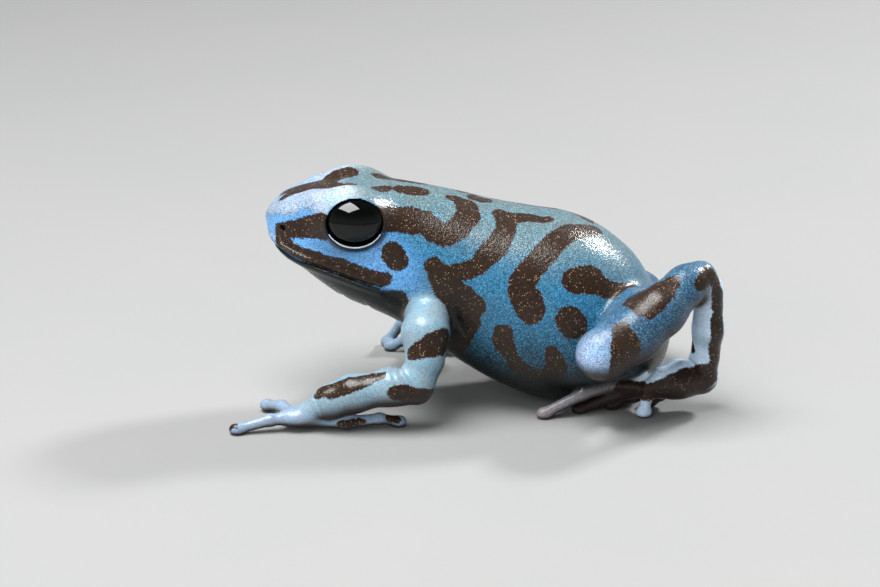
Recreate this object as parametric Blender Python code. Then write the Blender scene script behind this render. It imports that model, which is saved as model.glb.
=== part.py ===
"""A poison dart frog, Dendrobates auratus, in its blue and dark brown form: a still, life-size model.

The frog sits on the floor, z = 0. It faces -X, its left side is towards -Y, and +Z is up.
Sizes are in millimetres here, and MM turns them into the metres of the finished meshes.
The flesh is one field of distances to the skin, sampled on a grid. Each body part adds its own
rounded forms to that field, the forms melt into each other at the joints, and the skin is the
surface where the distance is nought. Thin gaps then part the body into its named pieces.
"""

import math

import bmesh
import bpy
import mathutils
import numpy as np
import openvdb

MM = 0.001

# The grids of the body and of the finer face, the gap between pieces, how far the field reaches
# round each form, and the height below which flesh lies flat on the floor.
STEP = 0.2
FACE_STEP = 0.13
PART_GAP = 0.32
MARGIN = 1.6
FLAT_HEIGHT = 0.09
# Guards for the field: a least length, a least half thickness, and the slopes that distances are divided by.
TINY = 1e-6
THINNEST = 0.02
SLOPES = (0.4, 1.6)
PARTING_SLOPES = (0.5, 1.0)

# About how many triangles each kind of piece is thinned to.
TRIANGLES = {
    "head": 2600,
    "torso": 2000,
    "upper_arm": 260,
    "forearm": 300,
    "hand": 1000,
    "thigh": 300,
    "shank": 320,
    "tarsus": 200,
    "foot": 1200,
}

BLUE = (0.10, 0.33, 0.62)
BROWN = (0.055, 0.030, 0.018)
EYE_BLACK = (0.006, 0.006, 0.007)
SKIN_ROUGHNESS = 0.35
EYE_ROUGHNESS = 0.05

# The head and trunk as upright sections: where each stands, the height of its top, of its
# widest line and of its underside, its half width, and how square its upper half is.
SECTIONS = (
    (-19.0, 18.6, 15.9, 14.9, 2.8, 2.4),
    (-17.4, 19.15, 15.3, 13.9, 3.4, 2.7),
    (-15.8, 19.7, 14.7, 12.7, 4.0, 2.9),
    (-14.0, 20.1, 14.2, 11.2, 4.6, 2.9),
    (-12.0, 20.3, 13.8, 9.8, 5.2, 2.8),
    (-10.0, 20.3, 13.5, 8.9, 5.7, 2.7),
    (-7.5, 20.2, 13.2, 7.7, 6.0, 2.5),
    (-5.0, 19.9, 12.6, 6.1, 6.1, 2.2),
    (-2.0, 19.3, 11.6, 4.0, 6.6, 2.1),
    (1.5, 18.4, 10.2, 1.9, 7.4, 2.1),
    (5.0, 17.7, 8.9, 0.4, 8.0, 2.15),
    (8.5, 17.1, 8.2, -0.2, 8.1, 2.15),
    (11.5, 15.8, 7.4, -0.2, 7.5, 2.1),
    (14.0, 13.8, 6.8, 0.1, 6.3, 2.1),
    (16.0, 11.6, 6.2, 0.9, 5.0, 2.1),
    (18.0, 9.2, 5.6, 1.8, 3.7, 2.1),
)
SNOUT_X = -19.0
SNOUT_ROUND = 2.4
SNOUT_TIP_Z = 17.15
RUMP_X = 17.9
RUMP_ROUND = 3.6
RUMP_TIP_Z = 6.0
END_CAP = 0.03
UNDERSIDE_SQUARE = 2.1
NECK_X = -5.8

# The face. An eyeball is an ellipsoid with its front flatter than a ball's, whose roundness has the power 2.
EYE_CENTRE = (-10.8, 3.85, 17.95)
EYE_RADII = (3.0, 2.9, 2.35)
EYE_FRONT = 2.5
EYE_SEGMENTS = 24
EYE_RINGS = 14
EYE_GAP = 0.25
LID_CENTRE = (-10.8, 18.08)
LID_OPENING = (2.55, 2.12)
LID_RIM = 0.3
DOME_CENTRE = (-11.0, 3.7, 17.6)
DOME_RADII = (3.7, 2.85, 3.05)
BROW = ((-11.5, 3.2, 19.5, 1.1), (-14.2, 2.8, 18.75, 1.05), (-16.8, 2.2, 17.8, 0.95))
NOSTRIL = (-17.2, 2.95, 16.9)
NOSTRIL_RADIUS = 0.34
EAR = (-7.4, 14.8)
EAR_RADIUS = 1.1
GROOVE = 0.16
LIP = 0.4
LIP_DEPTH = 0.2
# The mouth in side view: the height of its line at places back from the snout.
MOUTH = ((-19.0, 15.5), (-17.4, 14.7), (-16.2, 14.2), (-14.1, 13.7), (-11.4, 12.9), (-8.5, 12.0))

# The limbs: the middle of each bone's flesh as x, y, z and the radius there.
UPPER_ARM_LEFT = (
    (-4.3, -5.0, 9.6, 2.0),
    (-4.5, -7.8, 8.4, 2.0),
    (-4.5, -8.9, 6.4, 1.55),
    (-4.9, -9.4, 5.2, 1.45),
)
FOREARM_LEFT = (
    (-5.3, -9.7, 3.9, 1.5),
    (-7.4, -9.8, 4.1, 1.6),
    (-11.0, -9.8, 3.4, 1.6),
    (-13.0, -9.8, 2.65, 1.4),
    (-14.5, -9.7, 1.9, 1.05),
)
PALM_LEFT = (-15.8, -9.6, 1.2)
FINGERS_LEFT = (
    ((-15.4, -9.0, 1.1), (-15.2, -6.9, 0.9), (-14.6, -5.2, 0.46)),
    ((-16.2, -9.2, 1.2), (-17.5, -7.1, 1.3), (-18.9, -4.9, 0.6)),
    ((-16.2, -9.8, 1.2), (-18.4, -10.3, 1.1), (-21.3, -10.9, 0.46)),
    ((-14.9, -9.9, 1.0), (-11.6, -10.1, 0.8), (-8.6, -9.6, 1.0), (-6.9, -8.9, 0.46)),
)
UPPER_ARM_RIGHT = (
    (-4.3, 5.0, 9.6, 2.0),
    (-2.2, 7.8, 8.8, 1.9),
    (-0.2, 9.6, 7.7, 1.6),
    (0.5, 10.2, 7.2, 1.5),
)
FOREARM_RIGHT = (
    (1.0, 10.7, 5.8, 1.5),
    (-0.6, 10.7, 4.8, 1.5),
    (-2.7, 11.2, 3.0, 1.2),
    (-3.6, 11.5, 2.2, 1.05),
)
PALM_RIGHT = (-4.5, 11.6, 1.2)
FINGERS_RIGHT = (
    ((-4.3, 11.1, 1.1), (-4.8, 9.8, 0.9), (-5.4, 8.5, 0.46)),
    ((-4.8, 11.6, 1.2), (-6.4, 11.8, 1.2), (-7.9, 12.2, 0.46)),
    ((-5.0, 12.1, 1.2), (-6.8, 12.8, 2.6), (-8.2, 13.5, 0.46)),
    ((-4.2, 11.8, 1.1), (-2.0, 11.5, 0.9), (0.1, 11.0, 0.46)),
)

THIGH_LEFT = ((15.2, -4.4, 8.8, 2.4), (14.6, -6.6, 9.6, 2.3), (12.6, -9.2, 8.8, 2.0))
SHANK_LEFT = (
    (11.2, -10.3, 7.3, 2.4),
    (14.0, -9.6, 9.0, 2.4),
    (16.4, -8.4, 10.8, 2.25),
    (18.8, -6.5, 12.5, 1.75),
    (20.1, -5.6, 13.0, 1.5),
)
TARSUS_LEFT = ((20.9, -5.1, 11.6, 1.4), (21.0, -4.9, 8.0, 1.3), (20.8, -4.6, 5.2, 1.35))
SOLE_LEFT = ((20.4, -4.3, 3.2, 1.7), (18.3, -5.0, 3.1, 1.65), (15.6, -5.6, 2.5, 1.1))
TOES_LEFT = (
    ((18.0, -4.2, 2.4), (16.9, -3.6, 1.2), (15.8, -3.7, 0.46)),
    ((16.2, -4.9, 2.3), (14.4, -4.4, 1.3), (12.4, -4.4, 0.46)),
    ((15.6, -5.4, 2.4), (12.4, -5.3, 1.6), (9.4, -5.4, 0.46)),
    ((15.3, -5.7, 2.7), (12.3, -5.8, 2.9), (9.6, -6.3, 2.1), (6.2, -6.8, 0.46)),
    ((18.4, -5.6, 4.2), (16.7, -6.2, 4.0), (15.7, -6.5, 3.0), (15.2, -6.5, 0.46)),
)
THIGH_RIGHT = ((15.2, 4.4, 8.0, 2.4), (12.8, 7.0, 7.4, 2.4), (10.4, 9.6, 6.8, 2.0))
SHANK_RIGHT = ((9.6, 10.9, 4.9, 2.1), (12.6, 10.3, 5.2, 2.2), (15.2, 8.9, 6.2, 1.8), (16.8, 7.7, 7.0, 1.4))
TARSUS_RIGHT = ((17.2, 8.0, 5.5, 1.3), (16.4, 9.6, 3.7, 1.2), (15.4, 10.8, 2.6, 1.2))
SOLE_RIGHT = ((14.4, 11.8, 1.5, 1.3), (12.0, 12.7, 1.3, 1.2), (10.2, 13.0, 1.1, 0.9))
TOES_RIGHT = (
    ((13.0, 11.6, 1.1), (12.2, 10.6, 0.8), (11.0, 10.2, 0.46)),
    ((11.6, 12.2, 1.1), (9.6, 11.2, 0.8), (8.0, 11.0, 0.46)),
    ((10.4, 12.8, 1.1), (8.2, 12.5, 0.9), (5.8, 12.6, 0.46)),
    ((10.2, 13.0, 1.1), (7.0, 13.8, 1.0), (3.6, 14.4, 0.46)),
    ((11.4, 13.4, 1.1), (9.8, 14.6, 0.9), (8.2, 15.4, 0.46)),
)

# Half the length, width and height of a palm and of the discs, and the radii that digits taper between.
PALM_RADII = (1.9, 1.35, 0.95)
FINGER_RADII = (0.62, 0.45)
TOE_RADII = (0.72, 0.48)
FINGER_DISC = (0.74, 0.64, 0.54)
TOE_DISC = (0.74, 0.64, 0.54)

# The widths over which forms melt into each other.
DOME_MELT = 1.3
BROW_MELT = 1.0
HIP_MELT = 1.5
SHOULDER_MELT = 0.9
JOINT_MELT = 0.9
SKIN_MELT = 0.35


def smooth_curve(stations, values, at):
    """A smooth line through the values at the stations, read at the places in the array at."""
    slopes = np.gradient(values, stations)
    at = np.clip(at, stations[0], stations[-1])
    left = np.clip(np.searchsorted(stations, at) - 1, 0, len(stations) - 2)
    width = stations[left + 1] - stations[left]
    t = (at - stations[left]) / width
    return (
        (1 + 2 * t) * (1 - t) ** 2 * values[left]
        + t * (1 - t) ** 2 * width * slopes[left]
        + t * t * (3 - 2 * t) * values[left + 1]
        + t * t * (t - 1) * width * slopes[left + 1]
    )


def melt(a, b, width):
    """The nearer of two distances, with the crease between them rounded over the width."""
    share = np.clip(0.5 + 0.5 * (b - a) / width, 0, 1)
    return b + (a - b) * share - width * share * (1 - share)


def carve(a, b, width):
    """What is left of form a outside form b, with the edge between them rounded."""
    return -melt(-a, b, width)


class Block:
    """A block of space that is sampled every step millimetres."""

    def __init__(self, axes, step, window=None):
        self.axes, self.step, self.window = axes, step, window
        self.low = np.array([axis[0] for axis in axes])
        x, y, z = axes
        self.places = (x[:, None, None], y[None, :, None], z[None, None, :])

    def part(self, low, high):
        """The smaller block, on the same grid, round the box from low to high, if any of it is here."""
        ends = zip(self.axes, low, high)
        window = [slice(*np.searchsorted(axis, (a - MARGIN, b + MARGIN))) for axis, a, b in ends]
        if any(cut.start >= cut.stop for cut in window):
            return None
        return Block([axis[cut] for axis, cut in zip(self.axes, window)], self.step, tuple(window))


def block_round(forms, step):
    low = np.min([form.low for form, _ in forms], axis=0) - MARGIN
    high = np.max([form.high for form, _ in forms], axis=0) + MARGIN
    return Block([np.arange(a, b, step) for a, b in zip(low, high)], step)


class Ball:
    """An ellipsoid, turned about the vertical by the angle turn."""

    def __init__(self, centre, radii, turn=0.0):
        self.centre = centre
        self.radii = radii
        self.turn = turn
        reach = max(radii)
        self.low = np.array(centre) - reach
        self.high = np.array(centre) + reach

    def distance(self, block):
        x, y, z = (places - middle for places, middle in zip(block.places, self.centre))
        along = x * math.cos(self.turn) + y * math.sin(self.turn)
        across = y * math.cos(self.turn) - x * math.sin(self.turn)
        p, q, r = self.radii
        size = np.sqrt((along / p) ** 2 + (across / q) ** 2 + (z / r) ** 2) + TINY
        slope = np.sqrt((along / p**2) ** 2 + (across / q**2) ** 2 + (z / r**2) ** 2) + TINY
        return size * (size - 1) / slope


class Length:
    """A tapered length of flesh from one place to another, with a radius at each end."""

    def __init__(self, start, end, start_radius, end_radius):
        self.start, self.end = np.array(start), np.array(end)
        self.start_radius, self.end_radius = start_radius, end_radius
        reach = max(start_radius, end_radius)
        self.low = np.minimum(self.start, self.end) - reach
        self.high = np.maximum(self.start, self.end) + reach

    def distance(self, block):
        axis = self.end - self.start
        x, y, z = (places - middle for places, middle in zip(block.places, self.start))
        t = np.clip((x * axis[0] + y * axis[1] + z * axis[2]) / (axis @ axis), 0, 1)
        away = np.sqrt((x - t * axis[0]) ** 2 + (y - t * axis[1]) ** 2 + (z - t * axis[2]) ** 2)
        return away - self.start_radius - (self.end_radius - self.start_radius) * t


class Trunk:
    """The lofted head and trunk, between two places on the x axis."""

    def __init__(self, from_x, to_x):
        self.from_x, self.to_x = from_x, to_x
        self.low = np.array((max(from_x, SNOUT_X), -8.0, -0.5))
        self.high = np.array((min(to_x, RUMP_X), 8.0, 20.5))

    def distance(self, block):
        x, y, z = block.places
        within = np.clip(x, SNOUT_X + END_CAP, RUMP_X - END_CAP)
        columns = [np.array(column) for column in zip(*SECTIONS)]
        at = columns[0]
        top, middle, bottom, half, square = (smooth_curve(at, column, within) for column in columns[1:])
        front = np.clip((within - SNOUT_X) / SNOUT_ROUND, 0, 1)
        back = np.clip((RUMP_X - within) / RUMP_ROUND, 0, 1)
        closing = np.sqrt(1 - (1 - front) ** 2) * np.sqrt(1 - (1 - back) ** 2)
        tip_z = np.where(x < 0, SNOUT_TIP_Z, RUMP_TIP_Z)
        middle = tip_z + (middle - tip_z) * closing
        upper = np.maximum(tip_z + (top - tip_z) * closing - middle, THINNEST)
        lower = np.maximum(middle - tip_z - (bottom - tip_z) * closing, THINNEST)
        half = np.maximum(half * closing, THINNEST)
        height = np.where(z > middle, upper, lower)
        power = np.where(z > middle, square, UNDERSIDE_SQUARE)
        size = (np.abs(y / half) ** power + np.abs((z - middle) / height) ** power) ** (1 / power)
        value = (size - 1) * np.minimum(half, height)
        slope = np.sqrt(sum(part**2 for part in np.gradient(value, block.step)))
        value = value / np.clip(slope, *SLOPES)
        value = np.where(x == within, value, np.hypot(np.maximum(value, 0), x - within))
        return np.maximum(value, np.maximum(self.from_x - x, x - self.to_x))


def chain(stations):
    """Lengths of flesh through stations, each x, y, z and radius."""
    return [Length(a[:3], b[:3], a[3], b[3]) for a, b in zip(stations, stations[1:])]


def digit(points, radii, disc):
    """A finger or toe that tapers along its points to the flat disc at its tip."""
    taper = np.linspace(radii[0], radii[1], len(points))
    forms = chain([(*point, radius) for point, radius in zip(points, taper)])
    before, tip = points[-2], points[-1]
    return forms + [Ball(tip, disc, math.atan2(tip[1] - before[1], tip[0] - before[0]))]


def hand(palm, fingers):
    heading = math.atan2(fingers[2][-1][1] - palm[1], fingers[2][-1][0] - palm[0])
    forms = [(Ball(palm, PALM_RADII, heading), JOINT_MELT)]
    for points in fingers:
        forms += [(form, SKIN_MELT) for form in digit(points, FINGER_RADII, FINGER_DISC)]
    return forms


def foot(sole, toes):
    forms = [(form, JOINT_MELT) for form in chain(sole)]
    for points in toes:
        forms += [(form, SKIN_MELT) for form in digit(points, TOE_RADII, TOE_DISC)]
    return forms


def limb(stations, root_melt):
    lengths = chain(stations)
    return [(lengths[0], root_melt)] + [(form, JOINT_MELT) for form in lengths[1:]]


def flesh():
    """The forms of each named piece, with the width over which each melts into the ones before."""
    x, y, z = DOME_CENTRE
    domes = [(Ball((x, side * y, z), DOME_RADII), DOME_MELT) for side in (-1, 1)]
    brow_lines = [[(x, side * y, z, radius) for x, y, z, radius in BROW] for side in (-1, 1)]
    brows = [(form, BROW_MELT) for line in brow_lines for form in chain(line)]
    return {
        "head": [(Trunk(-math.inf, NECK_X), 0.0)] + domes + brows,
        "torso": [(Trunk(NECK_X, math.inf), 0.0)],
        "upper_arm_left": limb(UPPER_ARM_LEFT, SHOULDER_MELT),
        "forearm_left": limb(FOREARM_LEFT, JOINT_MELT),
        "hand_left": hand(PALM_LEFT, FINGERS_LEFT),
        "upper_arm_right": limb(UPPER_ARM_RIGHT, SHOULDER_MELT),
        "forearm_right": limb(FOREARM_RIGHT, JOINT_MELT),
        "hand_right": hand(PALM_RIGHT, FINGERS_RIGHT),
        "thigh_left": limb(THIGH_LEFT, HIP_MELT),
        "shank_left": limb(SHANK_LEFT, SKIN_MELT),
        "tarsus_left": limb(TARSUS_LEFT, JOINT_MELT),
        "foot_left": foot(SOLE_LEFT, TOES_LEFT),
        "thigh_right": limb(THIGH_RIGHT, HIP_MELT),
        "shank_right": limb(SHANK_RIGHT, SKIN_MELT),
        "tarsus_right": limb(TARSUS_RIGHT, JOINT_MELT),
        "foot_right": foot(SOLE_RIGHT, TOES_RIGHT),
    }


def skin(block, pieces):
    """The distance to the skin all over the block, before the face is worked into it."""
    total = Trunk(-math.inf, math.inf).distance(block)
    for forms in pieces.values():
        for form, width in forms:
            part = block.part(form.low, form.high)
            if part and not isinstance(form, Trunk):
                total[part.window] = melt(total[part.window], form.distance(part), width)
    return np.maximum(total, -block.places[2])


def outside_eye(x, y, z, room):
    """About how far places are outside the right eyeball, grown by the room round it."""
    axes = zip((x, y, z), EYE_CENTRE, EYE_RADII)
    across, out, up = ((at - middle) / (radius + room) for at, middle, radius in axes)
    return (np.sqrt(across**2 + np.abs(out) ** EYE_FRONT + up**2) - 1) * min(EYE_RADII)


def model_face(block, total):
    """Raises the lips and lids, and cuts the mouth, nostrils, ears and eye openings."""
    x, y, z = block.places
    stations, heights = (np.array(column) for column in zip(*MOUTH))
    above_mouth = z - smooth_curve(stations, heights, x)
    behind = x - stations[-1]
    flesh_depth = total
    for offset in (LIP, -LIP):
        lip = np.hypot(above_mouth - offset, flesh_depth + LIP_DEPTH) - LIP
        total = melt(total, np.maximum(lip, behind), LIP)
    mouth = np.hypot(above_mouth, flesh_depth) - GROOVE
    total = carve(total, np.maximum(mouth, behind), GROOVE)
    away = np.hypot((x - LID_CENTRE[0]) / LID_OPENING[0], (z - LID_CENTRE[1]) / LID_OPENING[1])
    outside_lids = (away - 1) * min(LID_OPENING)
    lid = np.hypot(outside_lids, flesh_depth + LID_RIM / 2) - LID_RIM
    total = melt(total, lid, LID_RIM)
    for side in (-1, 1):
        nostril = np.sqrt((x - NOSTRIL[0]) ** 2 + (y - side * NOSTRIL[1]) ** 2 + (z - NOSTRIL[2]) ** 2)
        total = carve(total, nostril - NOSTRIL_RADIUS, GROOVE)
        ear = np.hypot(np.hypot(x - EAR[0], z - EAR[1]) - EAR_RADIUS, flesh_depth) - GROOVE
        total = carve(total, np.maximum(ear, -side * y), GROOVE)
        opening = np.maximum(outside_lids, EYE_CENTRE[1] - side * y)
        total = carve(total, np.minimum(opening, outside_eye(x, side * y, z, EYE_GAP)), GROOVE)
    return total


def nearest(block, forms):
    distance = np.full([len(axis) for axis in block.axes], 2 * MARGIN)
    for form, _ in forms:
        part = block.part(form.low, form.high)
        if part:
            distance[part.window] = np.minimum(distance[part.window], form.distance(part))
    return distance


def parted(block, total, own, others):
    """The piece's share of the body: what is nearer to its own forms, less half the gap."""
    between = (own - others) / 2
    slope = np.sqrt(sum(part**2 for part in np.gradient(between, block.step)))
    return np.maximum(total, between / np.clip(slope, *PARTING_SLOPES) + PART_GAP / 2)


def surface(name, block, distance):
    """A mesh of the surface where the distance is nought, in millimetres."""
    grid = openvdb.FloatGrid(MARGIN)
    grid.copyFromArray(np.clip(distance, -MARGIN, MARGIN))
    grid.transform = openvdb.createLinearTransform(voxelSize=block.step)
    points, quads = grid.convertToQuads(isovalue=0.0)
    mesh = bpy.data.meshes.new(name)
    mesh.from_pydata(points + block.low, [], quads.tolist())
    return mesh


def keep_largest(shape):
    """Drops all but the closed surface with the most faces."""
    unseen = set(shape.verts)
    groups = []
    while unseen:
        edge = [unseen.pop()]
        group = set(edge)
        while edge:
            vert = edge.pop()
            for link in vert.link_edges:
                other = link.other_vert(vert)
                if other in unseen:
                    unseen.discard(other)
                    group.add(other)
                    edge.append(other)
        groups.append(group)
    groups.sort(key=len)
    loose = [vert for group in groups[:-1] for vert in group]
    bmesh.ops.delete(shape, geom=loose, context="VERTS")


def add_material(name, colour, roughness):
    material = bpy.data.materials.new(name)
    material.use_nodes = True
    shader = material.node_tree.nodes["Principled BSDF"]
    shader.inputs["Base Color"].default_value = (*colour, 1)
    shader.inputs["Roughness"].default_value = roughness
    shader.inputs["Metallic"].default_value = 0.0
    return material


def add_flesh(name, mesh, triangles, collection):
    """Closes, thins and flattens the mesh of a piece, and adds it to the frog."""
    shape = bmesh.new()
    shape.from_mesh(mesh)
    keep_largest(shape)
    bmesh.ops.recalc_face_normals(shape, faces=shape.faces)
    bmesh.ops.triangulate(shape, faces=shape.faces)
    for vert in shape.verts:
        if vert.co.z < FLAT_HEIGHT:
            vert.co.z = 0
    whole = len(shape.faces)
    shape.to_mesh(mesh)
    shape.free()
    piece = bpy.data.objects.new(name, mesh)
    collection.objects.link(piece)
    thin = piece.modifiers.new("Thin", "DECIMATE")
    thin.ratio = min(1.0, triangles / whole)
    thinned = bpy.data.meshes.new_from_object(piece.evaluated_get(bpy.context.evaluated_depsgraph_get()))
    piece.modifiers.remove(thin)
    piece.data = thinned
    for vert in thinned.vertices:
        vert.co = vert.co * MM
        if vert.co.z < FLAT_HEIGHT * MM:
            vert.co.z = 0
    thinned.materials.append(add_material(name, BROWN if name == "torso" else BLUE, SKIN_ROUGHNESS))
    thinned.shade_smooth()
    return piece


def add_eye(name, side, collection):
    x, y, z = EYE_CENTRE
    bpy.ops.mesh.primitive_uv_sphere_add(segments=EYE_SEGMENTS, ring_count=EYE_RINGS, radius=1)
    eye = bpy.context.object
    eye.name = name
    eye.data.name = name
    for vert in eye.data.vertices:
        across, up, out = vert.co
        out = math.copysign(abs(out) ** (2 / EYE_FRONT), out)
        vert.co = (across * EYE_RADII[0] * MM, side * out * EYE_RADII[1] * MM, up * EYE_RADII[2] * MM)
    if side > 0:
        eye.data.flip_normals()
    eye.location = (x * MM, side * y * MM, z * MM)
    eye.data.materials.append(add_material(name, EYE_BLACK, EYE_ROUGHNESS))
    eye.data.shade_smooth()
    for home in list(eye.users_collection):
        home.objects.unlink(eye)
    collection.objects.link(eye)


def stand_on_origin(pieces):
    """Moves the frog so that the middle of its box is over the origin."""
    bpy.context.view_layer.update()
    boxes = [(piece.matrix_world, corner) for piece in pieces for corner in piece.bound_box]
    corners = np.array([place @ mathutils.Vector(corner) for place, corner in boxes])
    middle = (corners.min(axis=0) + corners.max(axis=0)) / 2
    for piece in pieces:
        piece.location.x -= middle[0]
        piece.location.y -= middle[1]


def build_frog():
    for thing in list(bpy.data.objects):
        bpy.data.objects.remove(thing, do_unlink=True)
    collection = bpy.data.collections.new("poison dart frog")
    bpy.context.scene.collection.children.link(collection)
    pieces = flesh()
    for name, forms in pieces.items():
        block = block_round(forms, FACE_STEP if name == "head" else STEP)
        share = skin(block, pieces)
        if name == "head":
            share = model_face(block, share)
        others = [form for key, other in pieces.items() if key != name for form in other]
        share = parted(block, share, nearest(block, forms), nearest(block, others))
        kind = name.replace("_left", "").replace("_right", "")
        add_flesh(name, surface(name, block, share), TRIANGLES[kind], collection)
    add_eye("eye_left", -1, collection)
    add_eye("eye_right", 1, collection)
    stand_on_origin(collection.objects)


build_frog()
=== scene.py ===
"""The looks of the poison dart frog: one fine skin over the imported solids, wet eyes and soft studio light."""

import math

import bmesh
import bpy
import numpy as np
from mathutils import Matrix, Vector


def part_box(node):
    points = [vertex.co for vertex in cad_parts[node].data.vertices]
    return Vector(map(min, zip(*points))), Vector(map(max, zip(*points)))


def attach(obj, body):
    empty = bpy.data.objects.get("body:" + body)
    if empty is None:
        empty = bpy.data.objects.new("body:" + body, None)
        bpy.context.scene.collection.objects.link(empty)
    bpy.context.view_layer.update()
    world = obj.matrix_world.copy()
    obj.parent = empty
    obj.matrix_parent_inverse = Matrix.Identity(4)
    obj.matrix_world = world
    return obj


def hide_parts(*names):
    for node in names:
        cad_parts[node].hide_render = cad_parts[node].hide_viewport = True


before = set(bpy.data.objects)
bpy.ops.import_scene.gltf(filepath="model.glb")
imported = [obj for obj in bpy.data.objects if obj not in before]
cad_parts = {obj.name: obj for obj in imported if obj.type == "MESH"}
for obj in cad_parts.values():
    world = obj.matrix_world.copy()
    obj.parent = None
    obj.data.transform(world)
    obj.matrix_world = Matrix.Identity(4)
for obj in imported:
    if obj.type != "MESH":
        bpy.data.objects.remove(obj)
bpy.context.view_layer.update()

import openvdb
from mathutils import Vector

MM = 0.001
# The grid of the skin's surface, the room round each form in it and how often it is evened out, then
# the least half size of a section, the limits within which the trunk's distance is corrected by its
# slope, and the box in which the face is modelled.
STEP = 0.12
MARGIN = 1.6
RELAX_ROUNDS = 2
THINNEST = 0.02
NEAR_ZERO = 1e-6
SLOPE_LIMITS = (0.4, 1.6)
HEAD_BOX = ((-20.0, -8.0, 6.0), (-5.0, 8.0, 22.0))

# The same forms as the solids have, in the same millimetres. Each section of the trunk is an x, the
# heights of its top, middle and bottom there, half its width and how square it is.
SECTIONS = (
    (-19.0, 18.6, 15.9, 14.9, 2.8, 2.4),
    (-17.4, 19.15, 15.3, 13.9, 3.4, 2.7),
    (-15.8, 19.7, 14.7, 12.7, 4.0, 2.9),
    (-14.0, 20.1, 14.2, 11.2, 4.6, 2.9),
    (-12.0, 20.3, 13.8, 9.8, 5.2, 2.8),
    (-10.0, 20.3, 13.5, 8.9, 5.7, 2.7),
    (-7.5, 20.2, 13.2, 7.7, 6.0, 2.5),
    (-5.0, 19.9, 12.6, 6.1, 6.1, 2.2),
    (-2.0, 19.3, 11.6, 4.0, 6.6, 2.1),
    (1.5, 18.4, 10.2, 1.9, 7.4, 2.1),
    (5.0, 17.7, 8.9, 0.4, 8.0, 2.15),
    (8.5, 17.1, 8.2, -0.2, 8.1, 2.15),
    (11.5, 15.8, 7.4, -0.2, 7.5, 2.1),
    (14.0, 13.8, 6.8, 0.1, 6.3, 2.1),
    (16.0, 11.6, 6.2, 0.9, 5.0, 2.1),
    (18.0, 9.2, 5.6, 1.8, 3.7, 2.1),
)
SNOUT_X = -19.0
SNOUT_ROUND = 2.4
SNOUT_TIP_Z = 17.15
RUMP_X = 17.9
RUMP_ROUND = 3.6
RUMP_TIP_Z = 6.0
END_CAP = 0.03
UNDERSIDE_SQUARE = 2.1
TRUNK_BOX = ((SNOUT_X, -8.2, -0.5), (RUMP_X, 8.2, 20.5))

EYE_CENTRE = (-10.8, 3.85, 17.95)
EYE_RADII = (3.0, 2.9, 2.35)
EYE_FRONT = 2.5
EYE_OVERLAP = 0.03
LID_CENTRE = (-10.8, 18.08)
LID_OPENING = (2.55, 2.12)
LID_RIM = 0.3
LID_EDGE_RADIUS = 0.075
LID_EDGE_TURNS = (206, 334)
LID_EDGE_STATIONS = 41
LID_EDGE_TAPER = 0.5
LID_EDGE_BULGE = 0.5
LID_EDGE_ROUNDNESS = 3
EYE_SEGMENTS, EYE_RINGS = 72, 48
DOME_CENTRE = (-11.0, 3.7, 17.6)
DOME_RADII = (3.7, 2.85, 3.05)
BROW = ((-11.5, 3.2, 19.5, 1.1), (-14.2, 2.8, 18.75, 1.05), (-16.8, 2.2, 17.8, 0.95))
NOSTRIL = (-17.2, 2.95, 16.9)
NOSTRIL_RADIUS = 0.34
EAR = (-7.4, 14.8)
EAR_RADIUS = 1.1
EAR_GROOVE = 0.08
GROOVE = 0.13
MOUTH_GROOVE = 0.18
LIP = 0.4
LIP_DEPTH = 0.2
MOUTH = ((-19.0, 15.5), (-17.4, 14.7), (-16.2, 14.2), (-14.1, 13.7), (-11.4, 12.9), (-8.5, 12.0))

UPPER_ARM_LEFT = (
    (-4.3, -5.0, 9.6, 2.0),
    (-4.5, -7.8, 8.4, 2.0),
    (-4.5, -8.9, 6.4, 1.55),
    (-4.9, -9.4, 5.2, 1.45),
)
FOREARM_LEFT = (
    (-5.3, -9.7, 3.9, 1.5),
    (-7.4, -9.8, 4.1, 1.6),
    (-11.0, -9.8, 3.4, 1.6),
    (-13.0, -9.8, 2.65, 1.4),
    (-14.5, -9.7, 1.9, 1.05),
)
PALM_LEFT = (-15.8, -9.6, 1.2)
FINGERS_LEFT = (
    ((-15.4, -9.0, 1.1), (-15.2, -6.9, 0.9), (-14.6, -5.2, 0.46)),
    ((-16.2, -9.2, 1.2), (-17.5, -7.1, 1.3), (-18.9, -4.9, 0.6)),
    ((-16.2, -9.8, 1.2), (-18.4, -10.3, 1.1), (-21.3, -10.9, 0.46)),
    ((-14.9, -9.9, 1.0), (-11.6, -10.1, 0.8), (-8.6, -9.6, 1.0), (-6.9, -8.9, 0.46)),
)
UPPER_ARM_RIGHT = ((-4.3, 5.0, 9.6, 2.0), (-2.2, 7.8, 8.8, 1.9), (-0.2, 9.6, 7.7, 1.6), (0.5, 10.2, 7.2, 1.5))
FOREARM_RIGHT = (
    (1.0, 10.7, 5.8, 1.5),
    (-0.6, 10.7, 4.8, 1.5),
    (-2.7, 11.2, 3.0, 1.2),
    (-3.6, 11.5, 2.2, 1.05),
)
PALM_RIGHT = (-4.5, 11.6, 1.2)
FINGERS_RIGHT = (
    ((-4.3, 11.1, 1.1), (-4.8, 9.8, 0.9), (-5.4, 8.5, 0.46)),
    ((-4.8, 11.6, 1.2), (-6.4, 11.8, 1.2), (-7.9, 12.2, 0.46)),
    ((-5.0, 12.1, 1.2), (-6.8, 12.8, 2.6), (-8.2, 13.5, 0.46)),
    ((-4.2, 11.8, 1.1), (-2.0, 11.5, 0.9), (0.1, 11.0, 0.46)),
)
THIGH_LEFT = ((15.2, -4.4, 8.8, 2.4), (14.6, -6.6, 9.6, 2.3), (12.6, -9.2, 8.8, 2.0))
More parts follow.
